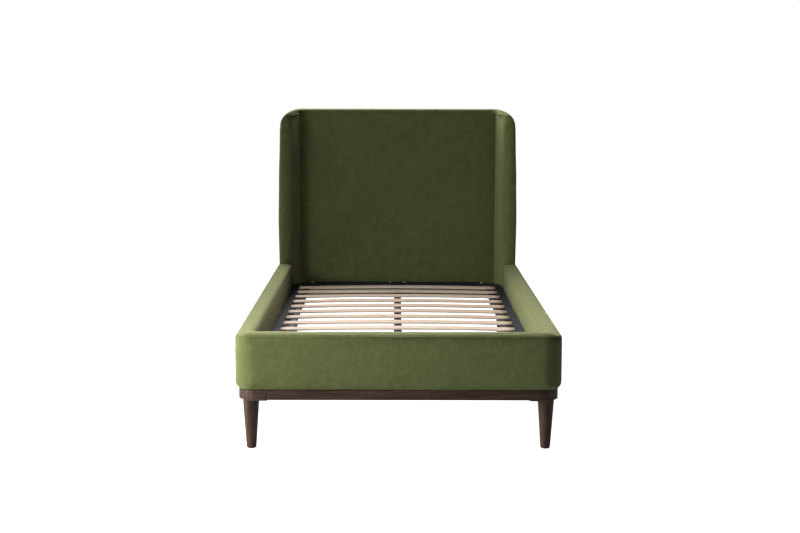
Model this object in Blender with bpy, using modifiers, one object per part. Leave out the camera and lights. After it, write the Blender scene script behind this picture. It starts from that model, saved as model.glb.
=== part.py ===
"""Upholstered bed with a winged headboard, for a 0.90 x 1.90 m mattress.

Metres, +Z up. The floor is Z = 0, the foot end faces -Y, the headboard stands at +Y,
and the origin is on the floor under the middle of the bed.
"""
import math

import bmesh
import bpy
from mathutils import Matrix

# Driving dimensions
LENGTH = 2.090              # front of the foot rail to the back of the headboard
RAIL_HALF_WIDTH = 0.525     # outer face of the side rail covers
RAIL_THICKNESS = 0.055
RAIL_TOP = 0.367
FOOT_RAIL_TOP = 0.380       # the foot rail is crowned a little above the side rails
COVER_BOTTOM = 0.197        # underside of all the upholstery
RAIL_END = 1.845            # side rails end here, measured from the foot
FOOT_CORNER_RADIUS = 0.075
HEADBOARD_TOP = 1.046
HEADBOARD_HALF_WIDTH = 0.521
HEADBOARD_CORNER_RADIUS = 0.095
WING_FRONT = 1.830          # front of the wings, measured from the foot
WING_FRONT_INSIDE = 0.468   # inner side of a wing at its front roll
PANEL_FACE = 1.980          # front of the inset panel, measured from the foot
PANEL_HALF_WIDTH = 0.435
PANEL_TOP = 1.026
PLINTH_INSET = 0.009        # plinth face behind the cover face
APRON_BOTTOM = 0.1655
APRON_THICKNESS = 0.022
BLOCK_BOTTOM = 0.163
BLOCK_SIZE = 0.096
LEG_INSET = 0.0503          # leg axis behind the outer faces of the bed
LEG_TOP_RADIUS = 0.0268
LEG_FOOT_RADIUS = 0.0165
FRAME_HALF_WIDTH = 0.4605
FRAME_FRONT = 0.060
FRAME_BACK = 1.974
FRAME_TOP = 0.272
FRAME_BAR = 0.030           # width of the frame's tube, seen from above
FRAME_DEPTH = 0.025
FRAME_HEAD_RADIUS = 0.130
FRAME_FOOT_RADIUS = 0.050
SLAT_COUNT = 13
SLAT_PITCH = 0.1325
FIRST_SLAT = 0.215          # centre of the slat nearest the foot
SLAT_WIDTH = 0.053
SLAT_THICKNESS = 0.008
SLAT_CROWN = 0.006          # rise of a slat at mid span
CENTRE_LEG_PLACE = 1.100    # centre leg, measured from the foot
FOOT_TRAVEL = 0.012         # how far the levelling foot screws up into its leg

# Thicknesses and fits
GAP = 0.0003                # between pieces that touch
CORE_THICKNESS = 0.025
CORE_INSET = 0.015          # padding in front of a rail core
CORE_TOP = 0.352
WING_BOARD_INNER = 0.4887
WING_BOARD_OUTER = 0.5087
WING_BOARD_TOP = 0.945
WING_SHOULDER = 0.985       # above this a wing pad stops in front of the boxing strip
BORDER_SIDE = 0.012
BORDER_FRONT = 1.985
BOARD_FRONT = 2.0203
BOARD_THICKNESS = 0.015
BATTEN_BACK = 2.0775
BACK_COVER_FRONT = 2.078
STILE_INNER = 0.440
TUBE_WALL = 0.0015
STEEL_ANGLE = 0.003
BOLT_RADIUS = 0.004
STEM_RADIUS = 0.00495
STEM_HOLE_RADIUS = 0.00525
ARC_STEPS = 6               # segments in a quarter turn of an outline
BELOW = 0.02                # how far a cutter reaches past what it cuts

CUTTERS = "bed_cutters"
PARTS = "upholstered_bed"

COLOURS = {
    "velvet": ((0.070, 0.088, 0.022), 0.85, 0.0),
    "walnut": ((0.050, 0.024, 0.016), 0.45, 0.0),
    "softwood": ((0.560, 0.400, 0.230), 0.70, 0.0),
    "plywood": ((0.480, 0.330, 0.190), 0.65, 0.0),
    "beech": ((0.640, 0.480, 0.340), 0.50, 0.0),
    "frame_paint": ((0.018, 0.021, 0.030), 0.45, 0.2),
    "zinc": ((0.600, 0.600, 0.600), 0.35, 1.0),
    "black_plastic": ((0.015, 0.015, 0.015), 0.50, 0.0),
}


def along(distance):
    """World Y of a place measured from the front of the foot rail."""
    return distance - LENGTH / 2


def clear_scene():
    for old in list(bpy.data.objects):
        bpy.data.objects.remove(old, do_unlink=True)


def make_collection(name):
    collection = bpy.data.collections.new(name)
    bpy.context.scene.collection.children.link(collection)
    return collection


def finish_of(slot):
    """The material of a slot, made the first time it is asked for."""
    if slot in bpy.data.materials:
        return bpy.data.materials[slot]
    colour, roughness, metallic = COLOURS[slot]
    material = bpy.data.materials.new(slot)
    material.use_nodes = True
    shader = material.node_tree.nodes["Principled BSDF"]
    shader.inputs["Base Color"].default_value = (*colour, 1.0)
    shader.inputs["Roughness"].default_value = roughness
    shader.inputs["Metallic"].default_value = metallic
    return material


def place(piece, collection, slot=None):
    """Put an object into one of the two collections, with its material."""
    for home in list(piece.users_collection):
        home.objects.unlink(piece)
    bpy.data.collections[collection].objects.link(piece)
    if slot:
        piece.data.materials.clear()
        piece.data.materials.append(finish_of(slot))
    if collection == CUTTERS:
        piece.hide_render = True
        piece.display_type = "WIRE"
    return piece


def box(name, low, high, slot=None, round_edges=0.0, collection=PARTS):
    """A block between two corners, at its own centre."""
    centre = [(a + b) / 2 for a, b in zip(low, high)]
    bpy.ops.mesh.primitive_cube_add(size=1, location=centre)
    piece = bpy.context.object
    piece.name = name
    piece.scale = [b - a for a, b in zip(low, high)]
    bpy.ops.object.transform_apply(location=False, rotation=False, scale=True)
    if round_edges:
        soften(piece, round_edges)
    return place(piece, collection, slot)


def soften(piece, width, segments=2):
    bevel = piece.modifiers.new("edges", "BEVEL")
    bevel.width = width
    bevel.segments = segments
    bevel.limit_method = "ANGLE"
    bevel.angle_limit = math.radians(50)


def rounded(corners):
    """Outline points from corners given as (x, y, radius)."""
    points = []
    count = len(corners)
    for index, (x, y, radius) in enumerate(corners):
        if not radius:
            points.append((x, y))
            continue
        before = corners[index - 1]
        after = corners[(index + 1) % count]
        to_before = math.atan2(before[1] - y, before[0] - x)
        to_after = math.atan2(after[1] - y, after[0] - x)
        turn = (to_after - to_before + math.pi) % (2 * math.pi) - math.pi
        middle = to_before + turn / 2
        reach = radius / math.sin(abs(turn) / 2)
        centre = (x + reach * math.cos(middle), y + reach * math.sin(middle))
        sweep = math.copysign(math.pi - abs(turn), -turn)
        start = middle + math.pi - sweep / 2
        steps = max(2, round(ARC_STEPS * abs(sweep) / (math.pi / 2)))
        for step in range(steps + 1):
            angle = start + sweep * step / steps
            points.append((centre[0] + radius * math.cos(angle), centre[1] + radius * math.sin(angle)))
    return points


def circle(x, y, radius, steps=20):
    turns = [2 * math.pi * step / steps for step in range(steps)]
    return [(x + radius * math.cos(turn), y + radius * math.sin(turn)) for turn in turns]


TURNS = {
    "Z": Matrix.Identity(4),                     # outline in X and Y
    "Y": Matrix.Rotation(math.pi / 2, 4, "X"),   # outline in X and Z
}


def extruded(name, outlines, low, high, axis, slot=None, collection=PARTS):
    """A flat outline, with any holes, pulled from low to high along an axis."""
    curve = bpy.data.curves.new(name, "CURVE")
    curve.dimensions = "2D"
    curve.fill_mode = "BOTH"
    curve.extrude = (high - low) / 2
    for outline in outlines:
        spline = curve.splines.new("POLY")
        spline.points.add(len(outline) - 1)
        for point, (x, y) in zip(spline.points, outline):
            point.co = (x, y, 0, 1)
        spline.use_cyclic_u = True
    guide = bpy.data.objects.new(name + "_outline", curve)
    bpy.context.scene.collection.objects.link(guide)
    middle = (low + high) / 2
    shift = {"Z": (0, 0, middle), "Y": (0, middle, 0)}[axis]
    guide.matrix_world = Matrix.Translation(shift) @ TURNS[axis]
    bpy.context.view_layer.update()
    return mesh_from_curve(guide, name, slot, collection)


def mesh_from_curve(guide, name, slot, collection):
    """Turn a curve object into a welded mesh object at the same place."""
    depsgraph = bpy.context.evaluated_depsgraph_get()
    mesh = bpy.data.meshes.new_from_object(guide.evaluated_get(depsgraph))
    work = bmesh.new()
    work.from_mesh(mesh)
    bmesh.ops.remove_doubles(work, verts=work.verts, dist=0.00001)
    bmesh.ops.recalc_face_normals(work, faces=work.faces)
    work.to_mesh(mesh)
    work.free()
    piece = bpy.data.objects.new(name, mesh)
    piece.matrix_world = guide.matrix_world
    bpy.data.objects.remove(guide, do_unlink=True)
    bpy.context.scene.collection.objects.link(piece)
    return place(piece, collection, slot)


def combine(piece, tool, operation):
    boolean = piece.modifiers.new(operation.lower() + "_" + tool.name, "BOOLEAN")
    boolean.operation = operation
    boolean.solver = "EXACT"
    boolean.object = tool


def turned(name, profile, location, slot, steps=32, closed=False):
    """A turned piece: (radius, height) points from top to bottom of the outer side."""
    mesh = bpy.data.meshes.new(name)
    verts = [(radius, 0, height) for radius, height in profile]
    edges = [(index, index + 1) for index in range(len(verts) - 1)]
    if closed:
        edges.append((len(verts) - 1, 0))
    mesh.from_pydata(verts, edges, [])
    piece = bpy.data.objects.new(name, mesh)
    piece.location = location
    screw = piece.modifiers.new("turning", "SCREW")
    screw.steps = steps
    screw.render_steps = steps
    screw.use_merge_vertices = True
    screw.merge_threshold = 0.00005
    weld = piece.modifiers.new("axis", "WELD")
    weld.merge_threshold = 0.00005
    bpy.context.scene.collection.objects.link(piece)
    return place(piece, PARTS, slot)


def both_sides():
    return (("left", -1), ("right", 1))


def foot_band(inset, thickness):
    """Plan outline of the foot rail, or of a layer inside it: a bar that turns both corners."""
    outer = RAIL_HALF_WIDTH - inset
    inner = outer - thickness
    end = along(FOOT_CORNER_RADIUS)
    front = along(inset)
    back = front + thickness
    outer_radius = FOOT_CORNER_RADIUS - inset
    inner_radius = outer_radius - thickness
    return rounded([
        (-outer, front, outer_radius), (outer, front, outer_radius), (outer, end, 0),
        (inner, end, 0), (inner, back, inner_radius), (-inner, back, inner_radius),
        (-inner, end, 0), (-outer, end, 0),
    ])


def build_foot_rail():
    cover = extruded("foot_rail_cover", [foot_band(0, RAIL_THICKNESS)],
                     COVER_BOTTOM, FOOT_RAIL_TOP, "Z", "velvet")
    hollow = extruded("foot_rail_hollow", [foot_band(CORE_INSET - GAP, CORE_THICKNESS + 2 * GAP)],
                      COVER_BOTTOM - BELOW, CORE_TOP + GAP, "Z", collection=CUTTERS)
    soften(cover, 0.011)
    combine(cover, hollow, "DIFFERENCE")
    extruded("foot_rail_core", [foot_band(CORE_INSET, CORE_THICKNESS)],
             COVER_BOTTOM, CORE_TOP, "Z", "softwood")


def build_side_rail(side, sign):
    """One padded side rail: a cover that is open underneath, over a board."""
    outer = RAIL_HALF_WIDTH
    inner = outer - RAIL_THICKNESS + GAP
    core_outer = outer - CORE_INSET
    core_inner = core_outer - CORE_THICKNESS
    corners = [
        (outer, COVER_BOTTOM, 0.008), (outer, RAIL_TOP, 0.012), (inner, RAIL_TOP, 0.012),
        (inner, COVER_BOTTOM, 0.004), (core_inner - GAP, COVER_BOTTOM, 0),
        (core_inner - GAP, CORE_TOP + GAP, 0), (core_outer + GAP, CORE_TOP + GAP, 0),
        (core_outer + GAP, COVER_BOTTOM, 0),
    ]
    start = along(FOOT_CORNER_RADIUS + GAP)
    end = along(RAIL_END)
    plate = 0.0035
    outline = [(sign * x, z) for x, z in rounded(corners)]
    extruded(side + "_rail_cover", [outline], start, end, "Y", "velvet")
    low, high = sorted((sign * core_inner, sign * core_outer))
    box(side + "_rail_core", (low, start, COVER_BOTTOM), (high, end - plate - GAP, CORE_TOP), "softwood")
    box(side + "_head_plate", (low + 0.002, end - plate, 0.225), (high - 0.002, end, 0.335), "zinc", 0.001)


def build_ledge(side, sign):
    """Steel angle on the inside of a side rail, which carries the slat base."""
    face = RAIL_HALF_WIDTH - RAIL_THICKNESS - GAP
    top = FRAME_TOP - FRAME_DEPTH - GAP
    width = 0.030
    corners = [
        (face, top - width), (face, top), (face - width, top), (face - width, top - STEEL_ANGLE),
        (face - STEEL_ANGLE, top - STEEL_ANGLE), (face - STEEL_ANGLE, top - width),
    ]
    outline = [(sign * x, z) for x, z in corners]
    extruded(side + "_ledge", [outline], along(0.150), along(1.790), "Y", "frame_paint")


def build_foot_bracket(side, sign):
    """Bent steel bracket inside a foot corner."""
    face = RAIL_HALF_WIDTH - RAIL_THICKNESS - GAP
    front = along(RAIL_THICKNESS + GAP)
    arm = 0.062
    corners = [
        (face, front, 0.022), (face, front + arm, 0), (face - STEEL_ANGLE, front + arm, 0),
        (face - STEEL_ANGLE, front + STEEL_ANGLE, 0.019), (face - arm, front + STEEL_ANGLE, 0),
        (face - arm, front, 0),
    ]
    outline = [(sign * x, y) for x, y in rounded(corners)]
    extruded(side + "_foot_bracket", [outline], 0.201, 0.243, "Z", "zinc")


def build_plinth():
    """Aprons and corner blocks under the upholstery."""
    outer = RAIL_HALF_WIDTH - PLINTH_INSET
    block_inner = outer - BLOCK_SIZE
    top = COVER_BOTTOM - GAP
    front = PLINTH_INSET
    back = LENGTH - PLINTH_INSET
    box("front_apron", (-block_inner + GAP, along(front), APRON_BOTTOM),
        (block_inner - GAP, along(front + APRON_THICKNESS), top), "walnut", 0.0012)
    for side, sign in both_sides():
        low, high = sorted((sign * outer, sign * (outer - APRON_THICKNESS)))
        box(side + "_apron", (low, along(front + BLOCK_SIZE + GAP), APRON_BOTTOM),
            (high, along(back - BLOCK_SIZE - GAP), top), "walnut", 0.0012)
        build_block("front_" + side + "_block", sign, front, front + BLOCK_SIZE,
                    FOOT_CORNER_RADIUS - PLINTH_INSET, 0.002)
        build_block("back_" + side + "_block", sign, back, back - BLOCK_SIZE, 0.004, 0.002)


def build_block(name, sign, outer_end, inner_end, outer_radius, inner_radius):
    """A corner block with its outer corner rounded and a hole for the leg's bolt."""
    outer = RAIL_HALF_WIDTH - PLINTH_INSET
    inner = outer - BLOCK_SIZE
    corners = [
        (sign * outer, along(outer_end), outer_radius), (sign * outer, along(inner_end), inner_radius),
        (sign * inner, along(inner_end), inner_radius), (sign * inner, along(outer_end), inner_radius),
    ]
    leg_x, leg_y = leg_place(sign, outer_end > LENGTH / 2)
    hole = circle(leg_x, leg_y, BOLT_RADIUS + GAP)
    extruded(name, [rounded(corners), hole], BLOCK_BOTTOM, COVER_BOTTOM - GAP, "Z", "walnut")


def leg_place(sign, at_head):
    distance = LENGTH - LEG_INSET if at_head else LEG_INSET
    return sign * (RAIL_HALF_WIDTH - LEG_INSET), along(distance)


def build_leg(name, sign, at_head):
    """A turned, tapered leg with a rounded foot, and the bolt that holds it."""
    top = BLOCK_BOTTOM - GAP
    hole = BOLT_RADIUS + GAP
    hole_bottom = top - 0.040
    foot_round = 0.0075
    profile = [(0, hole_bottom), (hole, hole_bottom), (hole, top), (LEG_TOP_RADIUS, top)]
    profile.append((LEG_FOOT_RADIUS, foot_round + 0.004))
    for step in range(1, ARC_STEPS + 1):
        angle = math.pi / 2 * step / ARC_STEPS
        radius = LEG_FOOT_RADIUS - foot_round * (1 - math.cos(angle))
        profile.append((radius, foot_round * (1 - math.sin(angle))))
    profile.append((0, 0))
    x, y = leg_place(sign, at_head)
    leg = turned(name + "_leg", profile, (x, y, 0), "walnut")
    smooth(leg)
    bolt_low = hole_bottom + GAP
    bolt_high = COVER_BOTTOM - GAP
    bpy.ops.mesh.primitive_cylinder_add(vertices=16, radius=BOLT_RADIUS, depth=bolt_high - bolt_low,
                                        location=(x, y, (bolt_low + bolt_high) / 2))
    bolt = bpy.context.object
    bolt.name = name + "_leg_bolt"
    place(bolt, PARTS, "zinc")


def smooth(piece):
    """Smooth shading except across sharp edges, on the evaluated shape."""
    bpy.context.view_layer.update()
    depsgraph = bpy.context.evaluated_depsgraph_get()
    mesh = bpy.data.meshes.new_from_object(piece.evaluated_get(depsgraph))
    mesh.shade_smooth()
    mesh.set_sharp_from_angle(angle=math.radians(40))
    piece.modifiers.clear()
    piece.data = mesh


def headboard_outline(inset=0.0):
    """Front outline of the headboard, with its two top corners rounded."""
    side = HEADBOARD_HALF_WIDTH - inset
    radius = HEADBOARD_CORNER_RADIUS - inset
    top = HEADBOARD_TOP - inset
    return rounded([
        (-side, COVER_BOTTOM, 0), (side, COVER_BOTTOM, 0), (side, top, radius), (-side, top, radius),
    ])


def build_headboard_frame():
    """Boards and battens inside the headboard."""
    front = along(BOARD_FRONT + BOARD_THICKNESS + GAP)
    back = along(BATTEN_BACK)
    top = PANEL_TOP - GAP
    stile_outer = WING_BOARD_INNER - GAP
    for side, sign in both_sides():
        low, high = sorted((sign * STILE_INNER, sign * stile_outer))
        box(side + "_stile", (low, front, COVER_BOTTOM), (high, back, 0.980), "softwood")
    reach = STILE_INNER - GAP
    for name, low, high in (("bottom_batten", COVER_BOTTOM, 0.297), ("middle_batten", 0.600, 0.660),
                            ("top_batten", 0.960, 1.020)):
        box(name, (-reach, front, low), (reach, back, high), "softwood")
    outline = rounded([
        (-stile_outer, COVER_BOTTOM, 0), (stile_outer, COVER_BOTTOM, 0),
        (stile_outer, top, 0.060), (-stile_outer, top, 0.060),
    ])
    extruded("headboard_board", [outline], along(BOARD_FRONT), along(BOARD_FRONT + BOARD_THICKNESS),
             "Y", "plywood")


def build_headboard_covers():
    """Inset panel pad, boxing strip round the edge and back cover."""
    half = PANEL_HALF_WIDTH - GAP
    box("panel_pad", (-half, along(PANEL_FACE), COVER_BOTTOM),
        (half, along(BOARD_FRONT - GAP), PANEL_TOP - GAP), "velvet", 0.006)
    side = HEADBOARD_HALF_WIDTH - BORDER_SIDE
    border = extruded("headboard_border", [headboard_outline()],
                      along(BORDER_FRONT), along(BACK_COVER_FRONT - GAP), "Y", "velvet")
    inside = rounded([
        (-side, COVER_BOTTOM - BELOW, 0), (side, COVER_BOTTOM - BELOW, 0),
        (side, PANEL_TOP, 0.080), (-side, PANEL_TOP, 0.080),
    ])
    opening = extruded("border_opening", [inside], along(BORDER_FRONT - BELOW), along(LENGTH),
                       "Y", collection=CUTTERS)
    combine(border, opening, "DIFFERENCE")
    extruded("headboard_back_cover", [headboard_outline()], along(BACK_COVER_FRONT), along(LENGTH),
             "Y", "velvet")


def build_wing(side, sign):
    """One padded wing: a plywood board inside a pad that rolls round its front edge."""
    outer = HEADBOARD_HALF_WIDTH
    pad_back = along(BOARD_FRONT - GAP)
    border_front = along(BORDER_FRONT - GAP)
    front = along(WING_FRONT)
    board_face = WING_BOARD_INNER - GAP
    corners = [
        (outer, border_front, 0), (outer, front, 0.024), (WING_FRONT_INSIDE, front, 0.027),
        (PANEL_HALF_WIDTH, along(PANEL_FACE), 0), (PANEL_HALF_WIDTH, pad_back, 0),
        (board_face, pad_back, 0), (board_face, border_front, 0),
    ]
    plan = [(sign * x, y) for x, y in rounded(corners)]
    pad = extruded(side + "_wing_pad", [plan], COVER_BOTTOM, HEADBOARD_TOP, "Z", "velvet")
    shape = extruded(side + "_wing_silhouette", [headboard_outline()], along(WING_FRONT - BELOW),
                     along(LENGTH), "Y", collection=CUTTERS)
    low, high = sorted((sign * board_face, sign * (WING_BOARD_OUTER + GAP)))
    pocket = box(side + "_wing_pocket", (low, along(1.8650), COVER_BOTTOM - BELOW),
                 (high, along(LENGTH), WING_BOARD_TOP + GAP), collection=CUTTERS)
    low, high = sorted((sign * 0.440, sign * (outer + BELOW)))
    notch = box(side + "_rail_notch", (low, along(WING_FRONT - BELOW), COVER_BOTTOM - BELOW),
                (high, along(RAIL_END + GAP), RAIL_TOP + GAP), collection=CUTTERS)
    low, high = sorted((sign * 0.420, sign * (outer + BELOW)))
    shoulder = box(side + "_wing_shoulder", (low, border_front, WING_SHOULDER),
                   (high, along(LENGTH), HEADBOARD_TOP + BELOW), collection=CUTTERS)
    combine(pad, shape, "INTERSECT")
    combine(pad, shoulder, "DIFFERENCE")
    combine(pad, pocket, "DIFFERENCE")
    combine(pad, notch, "DIFFERENCE")
    low, high = sorted((sign * WING_BOARD_INNER, sign * WING_BOARD_OUTER))
    box(side + "_wing_board", (low, along(1.8653), COVER_BOTTOM), (high, along(BATTEN_BACK), WING_BOARD_TOP),
        "plywood")


def frame_ring(inset):
    """Plan outline of the slat frame, moved in by an inset."""
    side = FRAME_HALF_WIDTH - inset
    foot = along(FRAME_FRONT + inset)
    head = along(FRAME_BACK - inset)
    foot_radius = FRAME_FOOT_RADIUS - inset
    head_radius = FRAME_HEAD_RADIUS - inset
    return rounded([
        (-side, foot, foot_radius), (side, foot, foot_radius),
        (side, head, head_radius), (-side, head, head_radius),
    ])


def slat_places():
    return [FIRST_SLAT + SLAT_PITCH * index for index in range(SLAT_COUNT)]


def build_slat_frame():
    """Welded loop of steel tube, with a seat for each slat end and drain holes."""
    bottom = FRAME_TOP - FRAME_DEPTH
    ring = extruded("slat_frame", [frame_ring(0), frame_ring(FRAME_BAR)], bottom, FRAME_TOP, "Z",
                    "frame_paint")
    hollow = extruded("frame_hollow", [frame_ring(TUBE_WALL), frame_ring(FRAME_BAR - TUBE_WALL)],
                      bottom + TUBE_WALL, FRAME_TOP - TUBE_WALL, "Z", collection=CUTTERS)
    bar_inner = FRAME_HALF_WIDTH - FRAME_BAR
    seat_top = FRAME_TOP - SLAT_THICKNESS - 2 * GAP
    for index, distance in enumerate(slat_places(), start=1):
        for side, sign in both_sides():
            low, high = sorted((sign * (bar_inner + TUBE_WALL / 2), sign * (bar_inner - 0.020)))
            seat = box("seat_%s_%02d" % (side, index),
                       (low, along(distance - 0.022), seat_top - 0.010),
                       (high, along(distance + 0.022), seat_top), collection=CUTTERS)
            combine(ring, seat, "UNION")
    combine(ring, hollow, "DIFFERENCE")
    for index, distance in enumerate((0.400, 1.700), start=1):
        for side, sign in both_sides():
            bpy.ops.mesh.primitive_cylinder_add(
                vertices=12, radius=0.003, depth=0.010,
                location=(sign * (FRAME_HALF_WIDTH - FRAME_BAR / 2), along(distance), bottom))
            drain = bpy.context.object
            drain.name = "drain_%s_%d" % (side, index)
            place(drain, CUTTERS)
            combine(ring, drain, "DIFFERENCE")


def build_slats():
    """Sprung slats, each bowed up a little between its two seats."""
    half = FRAME_HALF_WIDTH - FRAME_BAR - GAP
    bottom = FRAME_TOP - SLAT_THICKNESS - GAP
    steps = 12
    lower = []
    for step in range(steps + 1):
        across = -1 + 2 * step / steps
        lower.append((half * across, bottom + SLAT_CROWN * (1 - across ** 2) ** 2))
    upper = [(x, z + SLAT_THICKNESS) for x, z in reversed(lower)]
    for index, distance in enumerate(slat_places(), start=1):
        extruded("slat_%02d" % index, [lower + upper], along(distance - SLAT_WIDTH / 2),
                 along(distance + SLAT_WIDTH / 2), "Y", "beech")


def build_centre_support():
    """Centre rail under the slats, its leg and the screw foot that levels it."""
    top = FRAME_TOP - FRAME_DEPTH - GAP
    bottom = top - 0.025
    half = 0.015
    outer = [(-half, bottom), (half, bottom), (half, top), (-half, top)]
    wall = TUBE_WALL
    inner = [(-half + wall, bottom + wall), (half - wall, bottom + wall),
             (half - wall, top - wall), (-half + wall, top - wall)]
    extruded("centre_rail", [outer, inner], along(FRAME_FRONT + 0.004), along(FRAME_BACK - 0.004),
             "Y", "frame_paint")
    y = along(CENTRE_LEG_PLACE)
    leg_bottom = 0.030
    leg_radius = 0.016
    leg_bore = 0.0145
    plug_top = 0.055
    leg = turned("centre_leg", [
        (leg_bore, bottom - GAP), (leg_radius, bottom - GAP), (leg_radius, leg_bottom),
        (STEM_HOLE_RADIUS, leg_bottom), (STEM_HOLE_RADIUS, plug_top), (leg_bore, plug_top),
    ], (0, y, 0), "frame_paint", closed=True)
    smooth(leg)
    pad_top = leg_bottom - 0.0083 - FOOT_TRAVEL - GAP
    socket_floor = 0.003
    pad = turned("levelling_pad", [
        (0, socket_floor), (STEM_HOLE_RADIUS, socket_floor), (STEM_HOLE_RADIUS, pad_top),
        (0.010, pad_top), (0.020, 0.004), (0.020, 0.001), (0.019, 0), (0, 0),
    ], (0, y, 0), "black_plastic")
    smooth(pad)
    stem_low = socket_floor + GAP
    stem = turned("levelling_stem", [
        (0, 0.075), (STEM_RADIUS - 0.001, 0.075), (STEM_RADIUS, 0.074), (STEM_RADIUS, stem_low), (0, stem_low),
    ], (0, y, 0), "zinc", steps=24)
    smooth(stem)
    nut_high = leg_bottom - GAP
    hexagon = circle(0, y, 0.0098, steps=6)
    extruded("lock_nut", [hexagon, circle(0, y, STEM_HOLE_RADIUS)], nut_high - 0.008, nut_high, "Z", "zinc")


def build():
    clear_scene()
    make_collection(PARTS)
    make_collection(CUTTERS)
    build_foot_rail()
    build_plinth()
    build_headboard_frame()
    build_headboard_covers()
    for side, sign in both_sides():
        build_side_rail(side, sign)
        build_ledge(side, sign)
        build_foot_bracket(side, sign)
        build_wing(side, sign)
        build_leg("front_" + side, sign, False)
        build_leg("back_" + side, sign, True)
    build_slat_frame()
    build_slats()
    build_centre_support()


build()
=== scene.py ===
import math

import bpy
import bmesh
from mathutils import Matrix, Vector, noise


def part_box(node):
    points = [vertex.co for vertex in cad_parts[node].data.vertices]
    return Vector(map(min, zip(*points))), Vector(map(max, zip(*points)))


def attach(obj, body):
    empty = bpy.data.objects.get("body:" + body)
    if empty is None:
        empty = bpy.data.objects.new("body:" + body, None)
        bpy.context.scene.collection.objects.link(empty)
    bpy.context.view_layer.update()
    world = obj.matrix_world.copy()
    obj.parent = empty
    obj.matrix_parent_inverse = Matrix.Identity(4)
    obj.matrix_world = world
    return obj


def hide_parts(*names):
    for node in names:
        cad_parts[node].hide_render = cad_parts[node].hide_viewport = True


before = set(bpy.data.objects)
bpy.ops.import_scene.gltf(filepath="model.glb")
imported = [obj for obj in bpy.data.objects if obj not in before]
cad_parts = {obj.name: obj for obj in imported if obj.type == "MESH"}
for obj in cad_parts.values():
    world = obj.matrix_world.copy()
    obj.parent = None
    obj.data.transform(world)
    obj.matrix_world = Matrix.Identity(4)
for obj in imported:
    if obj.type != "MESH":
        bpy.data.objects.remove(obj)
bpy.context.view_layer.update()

# Sizes, in metres. X runs across the bed, Y from the foot to the headboard, Z up.
FOOT_LOW, FOOT_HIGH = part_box("foot_rail_cover")
RAIL_LOW, RAIL_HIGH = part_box("right_rail_cover")
WING_LOW, WING_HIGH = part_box("right_wing_pad")
PANEL_LOW, PANEL_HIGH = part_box("panel_pad")
BORDER_LOW, BORDER_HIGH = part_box("headboard_border")
BACK_LOW, BACK_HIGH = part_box("headboard_back_cover")
FRAME_LOW, FRAME_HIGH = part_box("slat_frame")

SIDE_NAMES = {-1: "left", 1: "right"}
SLAT_COUNT = 13
GAP = 0.0004  # clearance between pieces that touch

# The padded rails. A seam runs along each one between its face and its crowned top.
FOOT_CORNER = 0.0575  # radius of the foot rail's outer corners, seen from above
FOOT_DEPTH = 0.0545  # thickness of the foot rail
FOOT_SEAM = 0.3675  # height of its seam
FOOT_CROWN = 0.0155  # how far its padded top rises above the seam
FOOT_END_MIDDLE = (0.0275, 0.285)  # the middle of its end faces: depth from the outer face, height
RAIL_SEAM = 0.3650
RAIL_CROWN = 0.0040
RAIL_END_HEIGHT = 0.282
RAIL_TOP = 0.3673  # height at which the wings come down on the side rails
UNDER_ROLL = 0.021  # radius of the rolled lower edges
SEAM_DEPTH = 0.0026
SEAM_CURL = ((0.0002, -0.0100), (0.0006, -0.0050), (0.0012, -0.0022))  # the face's last points: depth, height
CROWN_TOP = 0.48  # where the crowned top is highest, as a part of the rail's depth
CROWN_FALL, CROWN_EDGE = 0.0008, 0.0052  # how far it falls behind that, and at its back edge
SEAM_STRENGTH_LEFT, SEAM_STRENGTH_MORE = 0.18, 0.82  # how strong the foot rail's seam groove and the painted shade along it are at its left end, and what the right end adds
END_EASE = (0.955, 0.985)  # a rail's end face is drawn in by this much, in depth and in height

# The headboard. A boxing strip runs round its edge, and is thicker over the top than down the sides.
CORNER_RADIUS = 0.075  # the top corners
CORNER_X = 0.4388
CORNER_Z = BORDER_HIGH.z - CORNER_RADIUS
CORNER_RISE = (0.40, 0.72)  # the part of the corner's turn over which the strip changes
STRIP_SIDE = 0.0105  # thickness of the strip down the sides
STRIP_TOP = 0.0185
STRIP_CROWN = 0.0016  # how far its padding bulges outwards
STRIP_SIDE_FRONT = 0.8125  # the strip's front edge on the wings
STRIP_PANEL_FRONT = 0.9353  # the strip's front edge above the panel
PANEL_TOP = PANEL_HIGH.z + 0.0017
PANEL_TUCK = 0.0120  # how far the panel's cover goes in behind each wing
WING_BEND = ((0.4550, 0.8500), (0.4600, 0.8280))  # where the wing's inner face turns to the front, from above
WING_NOSE_START_X = 0.4700
WING_NOSE_X = 0.5030  # where the wing's padded nose stands furthest forward
WING_NOSE_OUTSIDE = 0.014  # radius of the nose's outer edge
WING_RAIL_FRONT = 0.8008  # the wings stand back to here where they meet the side rails
WING_HIDDEN_Y = 0.9355  # behind this a wing lies inside the headboard

# The cloth pressure in each kind of padding, and the furthest that its cover may swell.
PADDING = {"foot_rail": (3.0, 0.0016), "side_rail": (3.0, 0.0028), "panel": (2.2, 0.006), "wing": (3.0, 0.0035),
           "back": (1.6, 0.0035)}
CLOTH_FRAMES = 20
CLOTH_MASS, CLOTH_STIFFNESS, CLOTH_BENDING = 0.3, 25, 3

# The distance between mesh points.
FOOT_MESH, RAIL_MESH, PANEL_MESH, BACK_MESH = 0.0095, 0.0105, 0.0095, 0.0165
FACE_MESH, INNER_FACE_MESH, UNDERSIDE_MESH = 0.0095, 0.012, 0.010  # up and across a rail's section
SLAT_MESH, LINING_MESH = 0.027, 0.040
WING_LOW_MESH, WING_HIGH_MESH = 0.013, 0.0095
BORDER_SIDE_MESH, BORDER_TOP_MESH = 0.0125, 0.0115

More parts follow.
